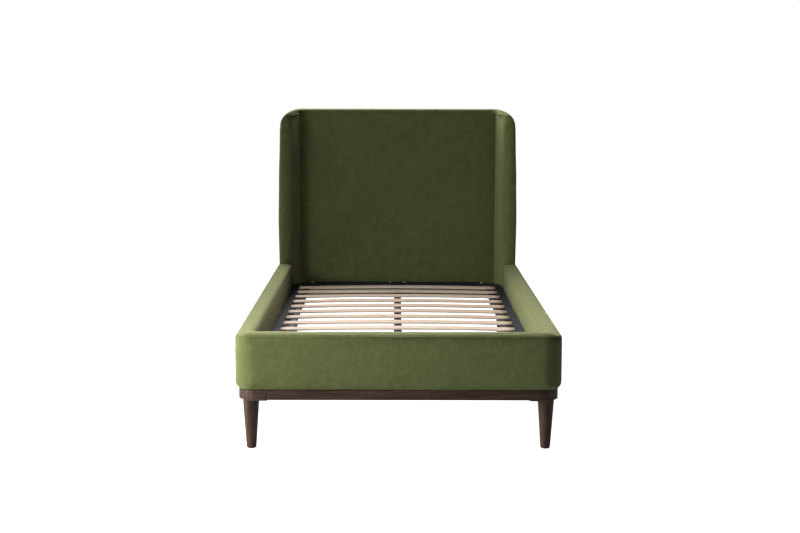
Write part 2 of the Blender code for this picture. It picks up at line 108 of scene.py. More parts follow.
# The slat frame.
SLAT_THICK = 0.008
SLAT_ROUND = 0.0039  # radius of a slat's long edges
SLAT_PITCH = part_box("slat_02")[0].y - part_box("slat_01")[0].y
HOLDER_LENGTH = 0.044
HOLDER_GAP = 0.0006
HOLDER_FLOOR = 0.0085  # height of a holder's underside above the frame's
BAR_WIDTH = 0.030
BOLT_LINE = FRAME_HIGH.y - 0.0165  # along the frame's head bar
# Name, X, distance in front of that line, and turn of each bolt that shows.
FRAME_BOLTS = (("middle_left", -0.031, 0.0, 0.3), ("middle_right", 0.031, 0.0, 0.9),
               ("corner_left", -0.380, 0.0140, 0.1), ("corner_right", 0.380, 0.0140, 0.6))
# Radius and height of each ring on the outside of a bolt's head, and across its socket.
BOLT_OUTSIDE = ((0.0078, 0.0), (0.0080, 0.0004), (0.0080, 0.0010), (0.0066, 0.0011), (0.0064, 0.0018),
                (0.0054, 0.0026), (0.0040, 0.0031))
BOLT_SOCKET = ((0.0026, 0.0031), (0.0024, 0.0014))
THREAD_PITCH = 0.0015
THREAD_DEPTH = 0.00082
AROUND = 24  # points round a bolt or a screw


# ---------------------------------------------------------------- shape helpers


def linked(name, work, smooth):
    """A new object from a bmesh, which is freed."""
    bmesh.ops.recalc_face_normals(work, faces=work.faces)
    mesh = bpy.data.meshes.new(name)
    work.to_mesh(mesh)
    work.free()
    for face in mesh.polygons:
        face.use_smooth = smooth
    piece = bpy.data.objects.new(name, mesh)
    bpy.context.scene.collection.objects.link(piece)
    return piece


def mesh_piece(name, points, faces):
    mesh = bpy.data.meshes.new(name)
    mesh.from_pydata([tuple(p) for p in points], [], faces)
    work = bmesh.new()
    work.from_mesh(mesh)
    bpy.data.meshes.remove(mesh)
    return linked(name, work, True)


def lofted(name, rings):
    """A skin through rings that all have the same number of points, with its ends filled."""
    count, points, faces = len(rings[0]), [p for ring in rings for p in ring], []
    for i in range(len(rings) - 1):
        a, b = i * count, (i + 1) * count
        for j in range(count):
            k = (j + 1) % count
            faces.append((a + j, a + k, b + k, b + j))
    for first in (0, (len(rings) - 1) * count):
        middle = len(points)
        points.append(sum((Vector(points[first + j]) for j in range(count)), Vector()) / count)
        faces += [(first + j, first + (j + 1) % count, middle) for j in range(count)]
    return mesh_piece(name, points, faces)


def corner_arc(before, corner, after, arc):
    """Points round a corner (x, y, radius) between the points before and after it."""
    here, radius = Vector(corner[:2]), corner[2]
    back, on = (Vector(before[:2]) - here).normalized(), (Vector(after[:2]) - here).normalized()
    half = back.angle(on) / 2
    reach = radius / math.tan(half)
    centre = here + (back + on).normalized() * radius / math.sin(half)
    start = here + back * reach - centre
    turn = start.angle_signed(here + on * reach - centre)
    angle = math.atan2(start.y, start.x)
    return [centre + radius * Vector((math.cos(angle - turn * k / arc), math.sin(angle - turn * k / arc)))
            for k in range(arc + 1)]


def outline(corners, steps, arc=4):
    """A closed outline with rounded corners. Each corner is (x, y, radius), and steps[i] points follow it."""
    count = len(corners)
    arcs = [corner_arc(corners[i - 1], corners[i], corners[(i + 1) % count], arc) for i in range(count)]
    points = []
    for i, bend in enumerate(arcs):
        points += bend
        following = arcs[(i + 1) % count][0]
        points += [bend[-1].lerp(following, s / (steps[i] + 1)) for s in range(1, steps[i] + 1)]
    return points


def even_points(path, count):
    """That many points, evenly spaced along a path, its two ends among them."""
    lengths = [0.0]
    for p, q in zip(path, path[1:]):
        lengths.append(lengths[-1] + (q - p).length)
    points, i = [], 0
    for k in range(count):
        want = lengths[-1] * k / (count - 1)
        while i < len(path) - 2 and lengths[i + 1] < want:
            i += 1
        gap = lengths[i + 1] - lengths[i]
        points.append(path[i].lerp(path[i + 1], (want - lengths[i]) / gap if gap else 0.0))
    return points


def spaced(start, end, gap):
    """Numbers from start to end, about gap apart."""
    count = max(1, round(abs(end - start) / gap))
    return [start + (end - start) * i / count for i in range(count + 1)]


def smoothstep(low, high, x):
    f = min(1.0, max(0.0, (x - low) / (high - low)))
    return f * f * (3 - 2 * f)


def follow(table, x):
    """The value at x on a smooth curve through the (x, value) pairs in table."""
    if x <= table[0][0]:
        return table[0][1]
    for (x0, v0), (x1, v1) in zip(table, table[1:]):
        if x <= x1:
            return v0 + (v1 - v0) * smoothstep(x0, x1, x)
    return table[-1][1]


def ripple(p, size, seed):
    return noise.noise(Vector((p[0] / size + seed, p[1] / size, p[2] / size)))


def puffed(piece, held, pressure, swell):
    """Lets a cover swell over its padding as cloth does. held says which points are sewn or tacked down."""
    mesh = piece.data
    before = [v.co.copy() for v in mesh.vertices]
    group = piece.vertex_groups.new(name="held")
    group.add([i for i, p in enumerate(before) if held(p)], 1.0, "REPLACE")
    cloth = piece.modifiers.new("cover", "CLOTH")
    cloth.settings.quality = 4
    cloth.settings.mass = CLOTH_MASS
    cloth.settings.use_pressure = True
    cloth.settings.uniform_pressure_force = pressure
    cloth.settings.effector_weights.gravity = 0.0
    cloth.settings.vertex_group_mass = "held"
    cloth.settings.tension_stiffness = CLOTH_STIFFNESS
    cloth.settings.compression_stiffness = CLOTH_STIFFNESS
    cloth.settings.bending_stiffness = CLOTH_BENDING
    cloth.collision_settings.use_collision = False
    cloth.point_cache.frame_start, cloth.point_cache.frame_end = 1, CLOTH_FRAMES
    scene = bpy.context.scene
    for step in range(1, CLOTH_FRAMES + 1):
        scene.frame_set(step)
    swollen = piece.evaluated_get(bpy.context.evaluated_depsgraph_get())
    after = [v.co.copy() for v in swollen.data.vertices]
    piece.modifiers.remove(cloth)
    piece.vertex_groups.remove(group)
    scene.frame_set(1)
    for vertex, start, end in zip(mesh.vertices, before, after):
        move = end - start
        if move.length > 1e-9:
            vertex.co = start + move * (swell * math.tanh(move.length / swell) / move.length)
    mesh.update()


def refine(piece):
    finer = piece.modifiers.new("finer", "SUBSURF")
    finer.levels = finer.render_levels = 1
    return piece


def paint_seam_shade(piece, nearness):
    """Stores how much painted shade darkens the velvet near a seam at each point, from 0 to 1."""
    values = piece.data.attributes.new("seam", "FLOAT", "POINT")
    for vertex in piece.data.vertices:
        values.data[vertex.index].value = min(1.0, max(0.0, nearness(vertex.co)))


def finished(piece, material, body="bed", replaces=()):
    piece.data.materials.append(material)
    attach(piece, body)
    if replaces:
        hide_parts(*replaces)


# ---------------------------------------------------------------- material helpers


class Finish:
    """One node material, built up a node at a time."""

    def __init__(self, name, **fixed):
        self.material = bpy.data.materials.new(name)
        self.material.use_nodes = True
        self.tree = self.material.node_tree
        self.shader = self.tree.nodes["Principled BSDF"]
        for socket, value in fixed.items():
            self.shader.inputs[socket.replace("_", " ")].default_value = value
        self.where = self.add("ShaderNodeTexCoord").outputs["Object"]

    def add(self, kind, inputs=None, **settings):
        node = self.tree.nodes.new(kind)
        for key, value in settings.items():
            setattr(node, key, value)
        for key, value in (inputs or {}).items():
            if isinstance(value, bpy.types.NodeSocket):
                self.tree.links.new(value, node.inputs[key])
            else:
                node.inputs[key].default_value = value
        return node

    def stretched(self, scale):
        return self.add("ShaderNodeMapping", {"Vector": self.where, "Scale": scale}).outputs[0]

    def noise(self, vector, scale, detail=2.0, roughness=0.5, distortion=0.0):
        return self.add("ShaderNodeTexNoise", {
            "Vector": vector, "Scale": scale, "Detail": detail, "Roughness": roughness,
            "Distortion": distortion}).outputs["Fac"]

    def ramp(self, value, *stops):
        node = self.add("ShaderNodeValToRGB", {"Fac": value})
        band = node.color_ramp
        while len(band.elements) < len(stops):
            band.elements.new(0.5)
        for element, (place, colour) in zip(band.elements, stops):
            element.position, element.color = place, (*colour, 1.0)
        return node.outputs["Color"]

    def between(self, value, low, high, to_low, to_high):
        return self.add("ShaderNodeMapRange", {
            "Value": value, "From Min": low, "From Max": high, "To Min": to_low, "To Max": to_high,
        }).outputs["Result"]

    def sum(self, a, b, operation="ADD"):
        return self.add("ShaderNodeMath", {0: a, 1: b}, operation=operation).outputs[0]

    def mixed(self, factor, a, b, blend="MIX"):
        node = self.add("ShaderNodeMix", {"Factor": factor}, data_type="RGBA", blend_type=blend)
        for socket, value in zip((node.inputs[6], node.inputs[7]), (a, b)):
            if isinstance(value, bpy.types.NodeSocket):
                self.tree.links.new(value, socket)
            else:
                socket.default_value = (*value, 1.0)
        return node.outputs[2]

    def bump(self, height, distance, strength=1.0, onto=None):
        inputs = {"Height": height, "Distance": distance, "Strength": strength}
        if onto is not None:
            inputs["Normal"] = onto
        return self.add("ShaderNodeBump", inputs).outputs["Normal"]

    def edges(self, radius):
        """1 on the edges of a hard piece and 0 on its flats."""
        round_normal = self.add("ShaderNodeBevel", {"Radius": radius}, samples=4).outputs[0]
        flat_normal = self.add("ShaderNodeNewGeometry").outputs["True Normal"]
        dot = self.add("ShaderNodeVectorMath", {0: round_normal, 1: flat_normal},
                       operation="DOT_PRODUCT").outputs["Value"]
        return self.between(dot, 0.995, 0.85, 0.0, 1.0)

    def done(self, colour, roughness=None, normal=None):
        link = self.tree.links.new
        link(colour, self.shader.inputs["Base Color"])
        if roughness is not None:
            link(roughness, self.shader.inputs["Roughness"])
        if normal is not None:
            link(normal, self.shader.inputs["Normal"])
        return self.material


def velvet():
    f = Finish("velvet_pile", Sheen_Weight=0.32, Sheen_Roughness=0.45, Sheen_Tint=(1.0, 0.94, 0.54, 1.0),
               Specular_IOR_Level=0.12)
    clouds = f.noise(f.where, 11.0, 3.0, 0.6, 0.5)
    mottle = f.noise(f.stretched((1.0, 1.0, 0.7)), 62.0, 5.0, 0.62, 0.3)
    rows = f.add("ShaderNodeTexWave", {"Vector": f.where, "Scale": 260.0, "Distortion": 1.6, "Detail": 2.0,
                                       "Detail Scale": 3.0}, bands_direction="Z").outputs["Fac"]
    pile = f.noise(f.stretched((1.0, 1.0, 0.55)), 1300.0, 2.0)
    lie = f.sum(f.sum(f.between(clouds, 0.3, 0.7, 0.44, 0.56), f.between(mottle, 0.3, 0.7, -0.13, 0.13)),
                f.sum(f.between(pile, 0.3, 0.7, -0.12, 0.12), f.between(rows, 0.0, 1.0, -0.03, 0.03)))
    colour = f.ramp(lie, (0.24, (0.098, 0.116, 0.040)), (0.50, (0.128, 0.150, 0.0515)),
                    (0.76, (0.163, 0.189, 0.069)))
    # Painted shade: the velvet is darkened along its seams, patchily, by the seam attribute.
    seam = f.add("ShaderNodeAttribute", attribute_name="seam").outputs["Fac"]
    seam_strength = f.sum(seam, f.between(clouds, 0.35, 0.65, 0.55, 1.0), "MULTIPLY")
    shaded = f.mixed(f.sum(seam_strength, 0.62, "MULTIPLY"), colour, (0.036, 0.043, 0.018))
    soft = f.bump(mottle, 0.0016, 0.35)
    fine = f.bump(f.sum(pile, f.between(rows, 0, 1, 0, 0.35)), 0.0005, 0.45, soft)
    return f.done(shaded, f.between(pile, 0.3, 0.7, 0.82, 0.98), fine)


def walnut(name, along):
    squeeze = [1.0, 1.0, 1.0]
    squeeze["XYZ".index(along)] = 0.055
    f = Finish(name, Specular_IOR_Level=0.28, Coat_Weight=0.04, Coat_Roughness=0.40)
    grain = f.stretched(tuple(squeeze))
    figure = f.noise(grain, 46.0, 4.0, 0.6, 1.4)
    streaks = f.noise(grain, 210.0, 3.0, 0.6)
    pores = f.noise(grain, 1500.0, 2.0, 0.6)
    mix = f.sum(f.sum(figure, f.between(streaks, 0.25, 0.75, -0.16, 0.16)),
                f.between(pores, 0.35, 0.65, -0.08, 0.08))
    colour = f.ramp(mix, (0.26, (0.021, 0.0105, 0.0068)), (0.48, (0.054, 0.0272, 0.0168)),
                    (0.66, (0.084, 0.0440, 0.0275)), (0.84, (0.119, 0.0660, 0.0420)))
    worn = f.mixed(f.sum(f.edges(0.0022), 0.45, "MULTIPLY"), colour, (0.135, 0.0760, 0.0490))
    rough = f.between(f.sum(pores, streaks), 0.7, 1.3, 0.56, 0.38)
    return f.done(worn, rough, f.bump(f.sum(pores, streaks), 0.00035, 0.5))


def softwood(name, along):
    squeeze = [1.0, 1.0, 1.0]
    squeeze["XYZ".index(along)] = 0.05
    f = Finish(name, Specular_IOR_Level=0.3)
    grain = f.stretched(tuple(squeeze))
    rings = f.noise(grain, 34.0, 3.0, 0.55, 2.0)
    bands = f.add("ShaderNodeTexWave", {"Vector": grain, "Scale": 24.0, "Distortion": 7.0, "Detail": 3.0,
                                        "Detail Scale": 1.4}, bands_direction="DIAGONAL").outputs["Fac"]
    fibres = f.noise(grain, 900.0, 2.0)
    mix = f.sum(f.sum(f.between(bands, 0, 1, 0.2, 0.65), f.between(rings, 0.3, 0.7, -0.15, 0.15)),
                f.between(fibres, 0.3, 0.7, -0.06, 0.06))
    colour = f.ramp(mix, (0.12, (0.36, 0.21, 0.095)), (0.45, (0.56, 0.39, 0.20)), (0.8, (0.66, 0.49, 0.28)))
    return f.done(colour, f.between(fibres, 0.3, 0.7, 0.62, 0.8), f.bump(fibres, 0.0004, 0.6))


def plywood():
    f = Finish("birch_plywood", Specular_IOR_Level=0.3)
    plies = f.add("ShaderNodeTexWave", {"Vector": f.where, "Scale": 105.0, "Distortion": 0.3},
                  bands_direction="Y").outputs["Fac"]
    face = f.noise(f.stretched((1.0, 1.0, 0.08)), 70.0, 4.0, 0.6, 1.2)
    fibres = f.noise(f.stretched((1.0, 1.0, 0.06)), 800.0, 2.0)
    colour = f.ramp(f.sum(face, f.between(fibres, 0.3, 0.7, -0.08, 0.08)),
                    (0.3, (0.44, 0.29, 0.15)), (0.55, (0.60, 0.44, 0.26)), (0.8, (0.70, 0.55, 0.36)))
    layered = f.mixed(f.between(plies, 0.6, 0.95, 0.0, 0.4), colour, (0.24, 0.13, 0.06))
    return f.done(layered, f.between(fibres, 0.3, 0.7, 0.55, 0.75), f.bump(fibres, 0.0003, 0.5))


def beech():
    f = Finish("laminated_beech", Specular_IOR_Level=0.45, Coat_Weight=0.15, Coat_Roughness=0.3)
    grain = f.stretched((0.045, 1.0, 1.0))
    board = f.noise(f.stretched((0.15, 6.0, 6.0)), 1.0, 1.0)
    figure = f.noise(grain, 60.0, 4.0, 0.6, 1.0)
    flecks = f.noise(f.stretched((0.22, 1.0, 1.0)), 900.0, 2.0, 0.6)
    mix = f.sum(f.sum(f.between(figure, 0.2, 0.8, 0.36, 0.64), f.between(board, 0.3, 0.7, -0.16, 0.16)),
                f.between(flecks, 0.35, 0.65, -0.05, 0.05))
    colour = f.ramp(mix, (0.22, (0.60, 0.405, 0.272)), (0.5, (0.71, 0.510, 0.363)),
                    (0.78, (0.79, 0.602, 0.452)))
    layer = f.add("ShaderNodeAttribute", attribute_name="layer").outputs["Fac"]
    ply = f.add("ShaderNodeMath", {0: f.sum(layer, 7.0, "MULTIPLY")}, operation="FRACT").outputs[0]
    side = f.sum(f.between(layer, 0.02, 0.10, 0.0, 1.0), f.between(layer, 0.90, 0.98, 1.0, 0.0), "MULTIPLY")
    glue = f.sum(f.between(f.add("ShaderNodeMath", {0: f.sum(ply, 0.5, "SUBTRACT")},
                                 operation="ABSOLUTE").outputs[0], 0.36, 0.46, 0.0, 0.75), side, "MULTIPLY")
    # The slats' sides are paler: partly the plies' own edge colour, partly a painted highlight where little
    # light reaches them.
    edge = f.mixed(f.sum(side, 0.80, "MULTIPLY"), colour, (0.89, 0.745, 0.590))
    layered = f.mixed(f.sum(glue, 0.6, "MULTIPLY"), edge, (0.36, 0.24, 0.15))
    return f.done(layered, f.between(flecks, 0.3, 0.7, 0.38, 0.55), f.bump(flecks, 0.0002, 0.5))


def frame_paint():
    f = Finish("powder_coat", Specular_IOR_Level=0.14)
    speck = f.noise(f.where, 1400.0, 2.0)
    cloud = f.noise(f.where, 9.0, 3.0)
    colour = f.ramp(f.sum(cloud, f.between(speck, 0.3, 0.7, -0.1, 0.1)),
                    (0.3, (0.0125, 0.0140, 0.0195)), (0.7, (0.0185, 0.0205, 0.0280)))
    worn = f.mixed(f.sum(f.edges(0.0012), 0.4, "MULTIPLY"), colour, (0.050, 0.052, 0.060))
    return f.done(worn, f.between(cloud, 0.3, 0.7, 0.58, 0.72), f.bump(speck, 0.0004, 0.6))


def zinc():
    f = Finish("zinc_plate", Metallic=1.0)
    spangle = f.add("ShaderNodeTexVoronoi", {"Vector": f.where, "Scale": 420.0}).outputs["Color"]
    cloud = f.noise(f.where, 160.0, 3.0)
    grey = f.ramp(cloud, (0.3, (0.42, 0.43, 0.44)), (0.7, (0.62, 0.62, 0.60)))
    colour = f.mixed(0.12, grey, spangle, "SOFT_LIGHT")
    worn = f.mixed(f.sum(f.edges(0.0008), 0.5, "MULTIPLY"), colour, (0.80, 0.80, 0.79))
    return f.done(worn, f.between(cloud, 0.3, 0.7, 0.28, 0.48), f.bump(cloud, 0.0003, 0.4))


def moulded_plastic():
    f = Finish("black_moulded_plastic", Specular_IOR_Level=0.25)
    grain = f.noise(f.where, 2200.0, 2.0)
    cloud = f.noise(f.where, 40.0, 2.0)
    colour = f.ramp(cloud, (0.3, (0.0065, 0.0065, 0.0072)), (0.7, (0.0125, 0.0125, 0.0134)))
    worn = f.mixed(f.sum(f.edges(0.0008), 0.5, "MULTIPLY"), colour, (0.055, 0.055, 0.056))
    return f.done(worn, f.between(grain, 0.3, 0.7, 0.42, 0.6), f.bump(grain, 0.0003, 0.6))


def lining_cloth():
    """Thin black polypropylene cloth of bonded fibres."""
    f = Finish("black_lining_cloth", Specular_IOR_Level=0.08)
    fibres = f.noise(f.stretched((1.0, 0.35, 1.0)), 1900.0, 3.0, 0.7)
    cloud = f.noise(f.where, 55.0, 3.0)
    colour = f.ramp(f.sum(cloud, f.between(fibres, 0.3, 0.7, -0.12, 0.12)),
                    (0.3, (0.0055, 0.0058, 0.0066)), (0.7, (0.0120, 0.0124, 0.0138)))
    worn = f.mixed(f.sum(f.edges(0.0010), 0.4, "MULTIPLY"), colour, (0.030, 0.030, 0.032))
    return f.done(worn, f.between(fibres, 0.3, 0.7, 0.86, 0.96), f.bump(fibres, 0.0003, 0.6))


def pale_floor():
    """A pale floor that glows for the camera alone, so that it is evenly white and lights nothing."""
    f = Finish("pale_floor", Specular_IOR_Level=0.1, Roughness=0.9, Emission_Color=WHITE)
    cloud = f.noise(f.where, 1.5, 3.0)
    seen = f.add("ShaderNodeLightPath").outputs["Is Camera Ray"]
    f.tree.links.new(seen, f.shader.inputs["Emission Strength"])
    return f.done(f.ramp(cloud, (0.3, (0.60, 0.60, 0.60)), (0.7, (0.64, 0.64, 0.64))))


# ---------------------------------------------------------------- camera, floor and light

CAMERA_PLACE = Vector((-0.01658, -5.62012, 1.19223))
CAMERA_PITCH, CAMERA_YAW, CAMERA_ROLL = 0.12919, 0.00435, 0.00276
CAMERA_LENS, CAMERA_SENSOR = 65.916, 36.0
WORLD_LIGHT, WORLD_COLOUR = 0.04, (0.80, 0.95, 2.0, 1.0)
WHITE = (1.0, 1.0, 1.0, 1.0)
FLOOR_SIZE = 40.0
# Each soft light's name, place, the point that it faces, width, height, power in watts and spread in degrees.
LIGHTS = (
    ("near", (-1.75, -1.60, 1.1), (-0.2, -1.05, 0.3), 0.8, 0.8, 16.3, 120),
    ("edge", (-2.6, -1.5, 0.6), (-0.5, -1.0, 0.3), 0.6, 0.6, 2.0, 30),
    ("over_foot", (-0.7, -1.3, 2.6), (-0.1, -1.0, 0.35), 1.0, 1.0, 5.5, 90),
    ("over_head", (-1.5, 0.9, 2.8), (0.3, 0.0, 0.3), 1.0, 1.0, 32, 180),
    ("back", (-0.8, 3.6, 2.4), (0.0, 0.0, 0.4), 3.0, 1.5, 76, 180),
    ("left_back", (-2.5, 2.2, 2.6), (0.0, -0.4, 0.3), 1.5, 1.5, 11, 180),
    ("above", (-0.5, 2.6, 3.6), (0.0, -0.3, 0.3), 2.5, 1.5, 120, 180),
)


def make_camera():
    data = bpy.data.cameras.new("camera")
    data.lens, data.sensor_width, data.sensor_fit = CAMERA_LENS, CAMERA_SENSOR, "HORIZONTAL"
    data.clip_end = 200
    forward = Vector((math.sin(CAMERA_YAW) * math.cos(CAMERA_PITCH),
                      math.cos(CAMERA_YAW) * math.cos(CAMERA_PITCH), -math.sin(CAMERA_PITCH)))
    level = Vector((math.cos(CAMERA_YAW), -math.sin(CAMERA_YAW), 0))
    upright = level.cross(forward)
    right = level * math.cos(CAMERA_ROLL) + upright * math.sin(CAMERA_ROLL)
    up = upright * math.cos(CAMERA_ROLL) - level * math.sin(CAMERA_ROLL)
    camera = bpy.data.objects.new("camera", data)
    turn = Matrix((right, up, -forward)).transposed().to_4x4()
    camera.matrix_world = Matrix.Translation(CAMERA_PLACE) @ turn
    bpy.context.scene.collection.objects.link(camera)
    bpy.context.scene.camera = camera


def make_floor():
    size = FLOOR_SIZE
    floor = mesh_piece("floor", [(-size, -size, 0), (size, -size, 0), (size, size, 0), (-size, size, 0)],
                       [(0, 1, 2, 3)])
    floor.data.materials.append(pale_floor())


def make_light(name, place, aim, width, height, power, spread):
    data = bpy.data.lights.new(name, "AREA")
    data.shape, data.size, data.size_y, data.energy = "RECTANGLE", width, height, power
    data.spread = math.radians(spread)
    lamp = bpy.data.objects.new(name, data)
    lamp.location = place
    lamp.rotation_euler = (Vector(aim) - Vector(place)).to_track_quat("-Z", "Y").to_euler()
    lamp.visible_camera = False
    bpy.context.scene.collection.objects.link(lamp)


def make_world():
    """A dim bluish fill light, with white behind the bed."""
    world = bpy.data.worlds.new("studio")
    bpy.context.scene.world = world
    world.use_nodes = True
    tree = world.node_tree
    seen = tree.nodes.new("ShaderNodeLightPath")
    mix = tree.nodes.new("ShaderNodeMixShader")
    lit = tree.nodes["Background"]
    lit.inputs["Color"].default_value = WORLD_COLOUR
    lit.inputs["Strength"].default_value = WORLD_LIGHT
    white = tree.nodes.new("ShaderNodeBackground")
    white.inputs["Strength"].default_value = 1.0
    white.inputs["Color"].default_value = WHITE
    tree.links.new(seen.outputs["Is Camera Ray"], mix.inputs["Fac"])
    tree.links.new(lit.outputs[0], mix.inputs[1])
    tree.links.new(white.outputs[0], mix.inputs[2])
    tree.links.new(mix.outputs[0], tree.nodes["World Output"].inputs["Surface"])


make_camera()
make_floor()
make_world()
for light in LIGHTS:
    make_light(*light)
bpy.context.scene.view_settings.view_transform = "Standard"

VELVET = velvet()
WALNUT = {axis: walnut("walnut_along_" + axis.lower(), axis) for axis in "XYZ"}
SOFTWOOD = {axis: softwood("softwood_along_" + axis.lower(), axis) for axis in "XYZ"}
PLYWOOD, BEECH, PAINT, ZINC, PLASTIC = plywood(), beech(), frame_paint(), zinc(), moulded_plastic()
LINING = lining_cloth()


# ---------------------------------------------------------------- padded rails


def crown_rise(t, depth, crown):
    """How far a rail's padded top stands above its seam, at t in from its outer face."""
    reach = CROWN_TOP * depth
    if t > reach:
        f = (t - reach) / (depth - reach)
        return crown - CROWN_FALL * f - CROWN_EDGE * f ** 6
    radius = (reach * reach + crown * crown) / (2 * crown)
    return math.sqrt(radius * radius - (reach - t) ** 2) - (radius - crown)


def rail_section(depth, bottom, seam, crown, groove=SEAM_DEPTH):
    """One cut through a padded rail, as (distance in from the outer face, height)."""
    points = []
    for k in range(7):
        turn = math.pi / 2 * k / 6
        points.append((UNDER_ROLL * (1 - math.sin(turn)), bottom + UNDER_ROLL * (1 - math.cos(turn))))
    for z in spaced(bottom + UNDER_ROLL, seam - 0.0160, FACE_MESH)[1:]:
        points.append((0.0, z))
    points += [(t, seam + rise) for t, rise in SEAM_CURL]
    points += [(0.0012 + groove, seam - 0.0002), (0.0013 + groove, seam + 0.0006)]  # the seam's groove
    for k in range(16):
        t = 0.0010 + (depth - 0.0010) * (k / 15) ** 1.35
        points.append((t, seam + 0.0016 + crown_rise(t, depth, crown)))
    for z in spaced(points[-1][1] - 0.004, bottom + 0.004, INNER_FACE_MESH):
        points.append((depth, z))
    points.append((depth - 0.003, bottom))
    for t in spaced(depth - 0.003, UNDER_ROLL, UNDERSIDE_MESH)[1:-1]:
        points.append((t, bottom + 0.0002))
    return points


def drawn_in(t, z, middle):
    """A point of a rail's end face, drawn in towards its middle so that the edge is eased."""
    return middle[0] + (t - middle[0]) * END_EASE[0], middle[1] + (z - middle[1]) * END_EASE[1]


def foot_path():
    """Points along the foot rail's outer face, from one end to the other: point, inward direction, and how far
    round the corner it lies, from 0 at the ends to 1 along the front."""
    wide, front, end = FOOT_HIGH.x + 0.0003, FOOT_LOW.y, FOOT_HIGH.y
    centre_x, centre_y = wide - FOOT_CORNER, front + FOOT_CORNER
    corner = [(Vector((-wide, y, 0)), Vector((1, 0, 0)), 0.0) for y in (end, (end + centre_y) / 2)]
    for k in range(13):
        a = math.pi / 2 * k / 12
        place = Vector((-centre_x - FOOT_CORNER * math.cos(a), centre_y - FOOT_CORNER * math.sin(a), 0))
        corner.append((place, Vector((math.cos(a), math.sin(a), 0)), k / 12))
    straight = [(Vector((x, front, 0)), Vector((0, 1, 0)), 1.0)
                for x in spaced(-centre_x, centre_x, FOOT_MESH)[1:-1]]
    mirrored = [(Vector((-p.x, p.y, 0)), Vector((-n.x, n.y, 0)), f) for p, n, f in reversed(corner)]
    return corner + straight + mirrored


def seam_strength(x):
    """How deep the foot rail's top seam lies across the bed, and how strong the painted shade along it is: both
    almost vanish at the left.
    """
    return SEAM_STRENGTH_LEFT + SEAM_STRENGTH_MORE * smoothstep(-0.36, 0.02, x)


def build_foot_rail():
    rings = []
    stations = foot_path()
    for i, (place, inward, along) in enumerate(stations):
        crown = RAIL_CROWN + (FOOT_CROWN - RAIL_CROWN) * smoothstep(0.0, 0.85, along)
        at_end = i in (0, len(stations) - 1)
        ring = []
        groove = SEAM_DEPTH * seam_strength(place.x)
        for t, z in rail_section(FOOT_DEPTH, FOOT_LOW.z, FOOT_SEAM, crown, groove):
            if at_end:
                t, z = drawn_in(t, z, FOOT_END_MIDDLE)
            spot = place + inward * t
            uneven = 0.0004 * ripple((spot.x, spot.y, z), 0.09, 3.0) if z > FOOT_SEAM else 0.0
            ring.append(Vector((spot.x, spot.y, z + uneven)))
        rings.append(ring)
    piece = lofted("foot_rail_padding", rings)
    inner = FOOT_LOW.y + FOOT_DEPTH

    def held(p):
        """Sewn along the seam, and tacked at the ends and underneath."""
        seam = abs(p.z - FOOT_SEAM) < 0.004
        ends = p.y > FOOT_HIGH.y - 0.004
        return seam or ends or p.z < FOOT_LOW.z + 0.010

    def nearness(p):
        """How much painted shade darkens the face: 1 at the seam, fading down the face below it."""
        if p.y > inner - 0.004 or p.z > FOOT_SEAM + 0.003:
            return 0.0
        return seam_strength(p.x) * (1.0 if p.z > FOOT_SEAM - 0.0035 else 0.8 - (FOOT_SEAM - p.z) / 0.030)

    puffed(piece, held, *PADDING["foot_rail"])
    paint_seam_shade(piece, nearness)
    finished(refine(piece), VELVET, replaces=["foot_rail_cover"])


def build_side_rail(side):
    name = SIDE_NAMES[side]
    rings = []
    stations = spaced(RAIL_LOW.y, RAIL_HIGH.y, RAIL_MESH)
    depth = RAIL_HIGH.x - RAIL_LOW.x
    for i, y in enumerate(stations):
        ring = []
        for t, z in rail_section(depth, RAIL_LOW.z, RAIL_SEAM, RAIL_CROWN):
            if i in (0, len(stations) - 1):
                t, z = drawn_in(t, z, (depth / 2, RAIL_END_HEIGHT))
            x = RAIL_HIGH.x - t
            uneven = 0.0007 * ripple((x, y, z), 0.11, 9.0 * side)
            ring.append(Vector((side * x, y, z + (uneven if z > RAIL_SEAM else 0))))
        rings.append(ring)
    piece = lofted(name + "_rail_padding", rings)

    def held(p):
        seam = abs(p.z - RAIL_SEAM) < 0.0035 and abs(p.x) > RAIL_HIGH.x - 0.006
        ends = p.y < RAIL_LOW.y + 0.003 or p.y > RAIL_HIGH.y - 0.003
        return seam or ends or p.z < RAIL_LOW.z + 0.010

    puffed(piece, held, *PADDING["side_rail"])
    finished(refine(piece), VELVET, replaces=[name + "_rail_cover"])


# ---------------------------------------------------------------- headboard

# Half the headboard's width at each height.
SIDE_LINE = ((0.197, 0.5214), (0.40, 0.5216), (0.56, 0.5230), (0.74, 0.5198), (0.90, 0.5156),
             (CORNER_Z, CORNER_X + CORNER_RADIUS))


def half_width(z, inset=0.0):
    """Half the headboard's width at a height, less an inset measured square to its edge."""
    if z <= CORNER_Z:
        return follow(SIDE_LINE, z) - inset
    radius = CORNER_RADIUS - inset
    return CORNER_X + math.sqrt(max(0.0, radius * radius - (z - CORNER_Z) ** 2))


def build_panel():
    low, high = PANEL_LOW, PANEL_HIGH
    cut = outline([(low.y, low.z, 0.010), (low.y, PANEL_TOP, 0.0010), (high.y, PANEL_TOP, 0.0010),
                   (high.y, low.z, 0.002)], [84, 2, 14, 2])
    rings = [[Vector((x, y, z)) for y, z in cut]
             for x in spaced(low.x - PANEL_TUCK, high.x + PANEL_TUCK, PANEL_MESH)]
    piece = lofted("headboard_panel_padding", rings)

    def held(p):
        """Tacked all round its face."""
        upright = p.z < low.z + 0.02 or p.z > high.z - 0.006
        return p.y > low.y + 0.010 or upright or abs(p.x) > high.x - 0.004

    puffed(piece, held, *PADDING["panel"])
    finished(refine(piece), VELVET, replaces=["panel_pad"])


def strip_thickness(rise):
    """The boxing strip's thickness, which rise carries from the sides' to the top's."""
    return STRIP_SIDE + (STRIP_TOP - STRIP_SIDE) * rise


